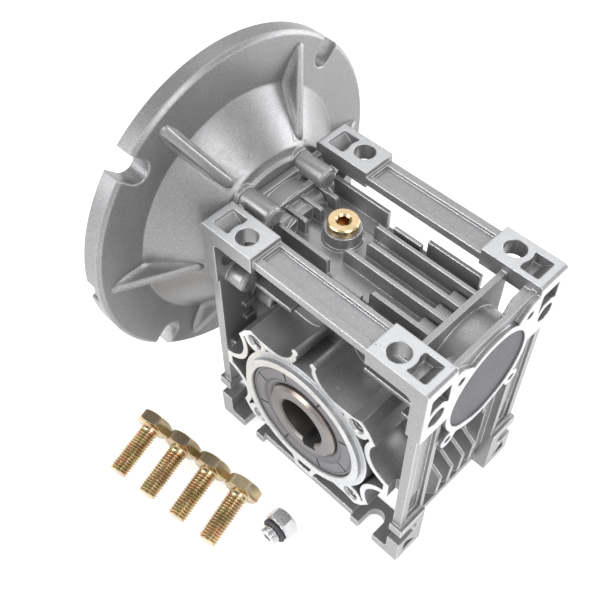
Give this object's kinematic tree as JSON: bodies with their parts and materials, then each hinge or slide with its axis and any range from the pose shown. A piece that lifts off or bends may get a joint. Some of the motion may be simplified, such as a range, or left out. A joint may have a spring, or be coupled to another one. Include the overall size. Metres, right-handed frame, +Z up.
{
  "type": "worm gear reducer",
  "caption": "Right-angle worm gear reducer with a hollow keyed output shaft, a round motor flange with hollow input, and loose motor bolts with a breather plug.",
  "frame": {"origin": "centre of the hollow output shaft, midway along it", "axes": "+X along the worm axis away from the motor flange, +Z up towards the worm, -Y towards the output face with the wavy wall"},
  "size_m": [0.1525, 0.1905, 0.1925],
  "materials": {
    "cast": "die-cast aluminium, bead-blasted",
    "steel": "ground steel",
    "bearing": "polished bearing steel",
    "bronze": "cast tin bronze",
    "rubber": "moulded black rubber",
    "gasket": "dark gasket sheet",
    "black_steel": "black-oxide steel",
    "brass": "brass-coloured plating",
    "yellow_zinc": "iridescent yellow zinc plating",
    "plug_alloy": "turned bright aluminium"
  },
  "bodies": {
    "gearbox": {"housing": "cast", "output_cover": "cast", "cover_oring": "rubber", "cover_screws": "black_steel", "input_flange": "cast", "flange_gasket": "gasket", "flange_screws": "black_steel", "filler_plug": "brass", "filler_washer": "brass", "rear_end_cap": "rubber", "rear_circlip": "black_steel", "output_seal_front": "rubber", "output_seal_rear": "rubber", "input_seal": "rubber", "output_race_front": "bearing", "output_race_rear": "bearing", "input_race": "bearing", "rear_race": "bearing", "motor_bolts": "yellow_zinc", "breather_plug": "plug_alloy", "breather_oring": "rubber"},
    "worm": {"worm_shaft": "steel", "input_inner": "bearing", "rear_inner": "bearing", "worm_circlip": "black_steel"},
    "output": {"output_hub": "steel", "worm_wheel": "bronze", "output_inner_front": "bearing", "output_inner_rear": "bearing"},
    "output_ball_sets": {"output_balls_front": "bearing", "output_balls_rear": "bearing"},
    "input_ball_set": {"input_balls": "bearing"},
    "rear_ball_set": {"rear_balls": "bearing"}
  },
  "joints": [
    {"name": "worm_spin", "type": "hinge", "parent": "gearbox", "child": "worm", "pos_m": [0, 0, 0.05], "axis": [1, 0, 0], "continuous": true},
    {"name": "output_spin", "type": "hinge", "parent": "gearbox", "child": "output", "pos_m": [0, 0, 0], "axis": [0, 1, 0], "continuous": true},
    {"name": "output_ball_spin", "type": "hinge", "parent": "gearbox", "child": "output_ball_sets", "pos_m": [0, 0, 0], "axis": [0, 1, 0], "continuous": true},
    {"name": "input_ball_spin", "type": "hinge", "parent": "gearbox", "child": "input_ball_set", "pos_m": [0, 0, 0.05], "axis": [1, 0, 0], "continuous": true},
    {"name": "rear_ball_spin", "type": "hinge", "parent": "gearbox", "child": "rear_ball_set", "pos_m": [0, 0, 0.05], "axis": [1, 0, 0], "continuous": true}
  ],
  "couplings": [
    {"joint": "output_spin", "follows": "worm_spin", "ratio": -0.025},
    {"joint": "output_ball_spin", "follows": "worm_spin", "ratio": -0.01067},
    {"joint": "input_ball_spin", "follows": "worm_spin", "ratio": 0.4382},
    {"joint": "rear_ball_spin", "follows": "worm_spin", "ratio": 0.3976}
  ]
}
